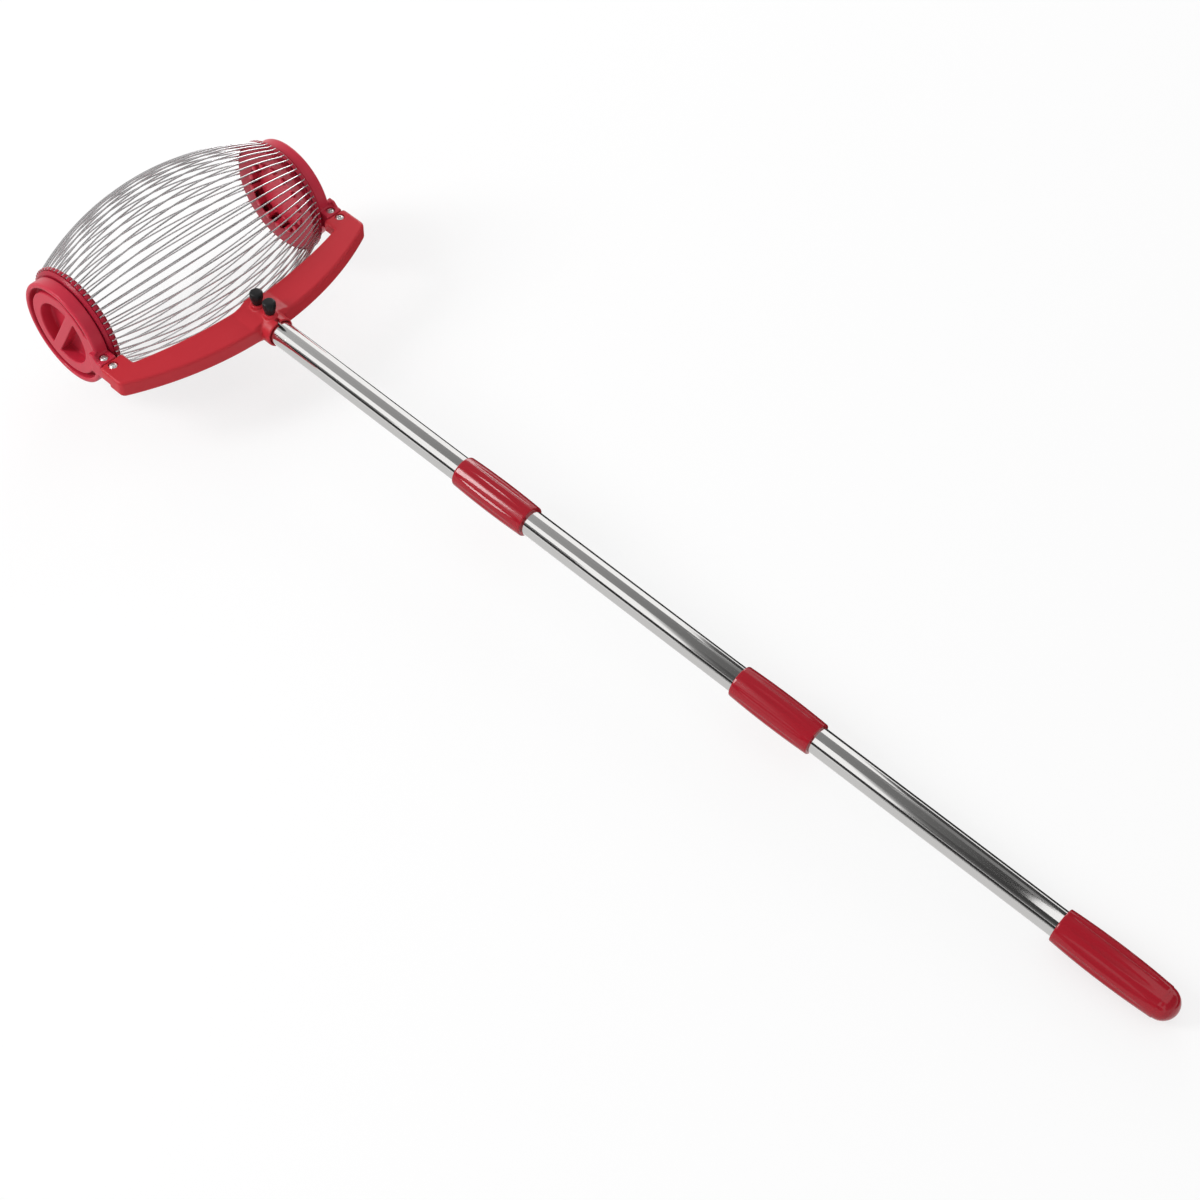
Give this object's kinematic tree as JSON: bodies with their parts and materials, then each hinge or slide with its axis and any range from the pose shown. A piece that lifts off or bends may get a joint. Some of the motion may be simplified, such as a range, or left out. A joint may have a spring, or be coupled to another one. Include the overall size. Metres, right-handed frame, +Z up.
{
  "type": "rolling nut gatherer",
  "caption": "Rolling nut gatherer: a barrel-shaped wire basket turns between two holders on a bowed yoke, on a screw-together pole with a hand grip.",
  "frame": {"origin": "on the ground, under the middle of the tool as it lies on its basket and hand grip", "axes": "+X along the basket's axle, +Y away from the hand grip towards the basket, +Z up"},
  "size_m": [0.272, 1.0965, 0.1558],
  "materials": {
    "yoke_plastic": "smooth moulded",
    "holder_plastic": "smooth moulded",
    "hub_plastic": "smooth moulded",
    "fitting_plastic": "smooth moulded",
    "knob_plastic": "moulded black",
    "plug_plastic": "moulded",
    "tube_steel": "polished",
    "wire_steel": "drawn wire",
    "screw_steel": "plated",
    "brass": "machined"
  },
  "bodies": {
    "head": {"yoke": "yoke_plastic", "left_holder": "holder_plastic", "right_holder": "holder_plastic", "holder_screws": "screw_steel", "holder_nuts": "screw_steel", "clamp_inserts": "brass"},
    "basket": {"left_hub": "hub_plastic", "right_hub": "hub_plastic", "left_wire_ring": "hub_plastic", "right_wire_ring": "hub_plastic", "left_ring_screws": "screw_steel", "right_ring_screws": "screw_steel", "cage_wires": "wire_steel"},
    "front_thread": {"front_stud": "screw_steel"},
    "front_knob": {"front_knob": "knob_plastic"},
    "rear_thread": {"rear_stud": "screw_steel"},
    "rear_knob": {"rear_knob": "knob_plastic"},
    "lower_pole": {"lower_tube": "tube_steel", "lower_coupling": "fitting_plastic"},
    "middle_thread": {"middle_plug": "plug_plastic"},
    "middle_pole": {"middle_tube": "tube_steel", "upper_coupling": "fitting_plastic"},
    "upper_thread": {"upper_plug": "plug_plastic"},
    "upper_pole": {"upper_tube": "tube_steel", "hand_grip": "fitting_plastic"}
  },
  "joints": [
    {"name": "basket_spin", "type": "hinge", "parent": "head", "child": "basket", "pos_m": [0, 0.47036, 0.07789], "axis": [1, 0, 0], "continuous": true},
    {"name": "front_knob_slide", "type": "slide", "parent": "head", "child": "front_thread", "axis": [0, -0.0642, 0.9979], "range_m": [0, 0.004]},
    {"name": "front_knob_turn", "type": "hinge", "parent": "front_thread", "child": "front_knob", "pos_m": [0, 0.37117, 0.07151], "axis": [0, -0.0642, 0.9979], "range_deg": [0, 1800.5]},
    {"name": "rear_knob_slide", "type": "slide", "parent": "head", "child": "rear_thread", "axis": [0, -0.0642, 0.9979], "range_m": [0, 0.004]},
    {"name": "rear_knob_turn", "type": "hinge", "parent": "rear_thread", "child": "rear_knob", "pos_m": [0, 0.3552, 0.07048], "axis": [0, -0.0642, 0.9979], "range_deg": [0, 1800.5]},
    {"name": "pole_slide", "type": "slide", "parent": "head", "child": "lower_pole", "axis": [0, -0.9979, -0.0642], "range_m": [0, 0.03]},
    {"name": "middle_slide", "type": "slide", "parent": "lower_pole", "child": "middle_thread", "axis": [0, -0.9979, -0.0642], "range_m": [0, 0.02]},
    {"name": "middle_turn", "type": "hinge", "parent": "middle_thread", "child": "middle_pole", "pos_m": [0, 0.12737, 0.05582], "axis": [0, -0.9979, -0.0642], "range_deg": [0, 1800.5]},
    {"name": "upper_slide", "type": "slide", "parent": "middle_pole", "child": "upper_thread", "axis": [0, -0.9979, -0.0642], "range_m": [0, 0.02]},
    {"name": "upper_turn", "type": "hinge", "parent": "upper_thread", "child": "upper_pole", "pos_m": [0, -0.16253, 0.03717], "axis": [0, -0.9979, -0.0642], "range_deg": [0, 1800.5]}
  ],
  "couplings": [
    {"joint": "front_knob_turn", "follows": "front_knob_slide", "rad_per_m": 7854},
    {"joint": "rear_knob_turn", "follows": "rear_knob_slide", "rad_per_m": 7854},
    {"joint": "middle_turn", "follows": "middle_slide", "rad_per_m": 1570.8},
    {"joint": "upper_turn", "follows": "upper_slide", "rad_per_m": 1570.8}
  ]
}
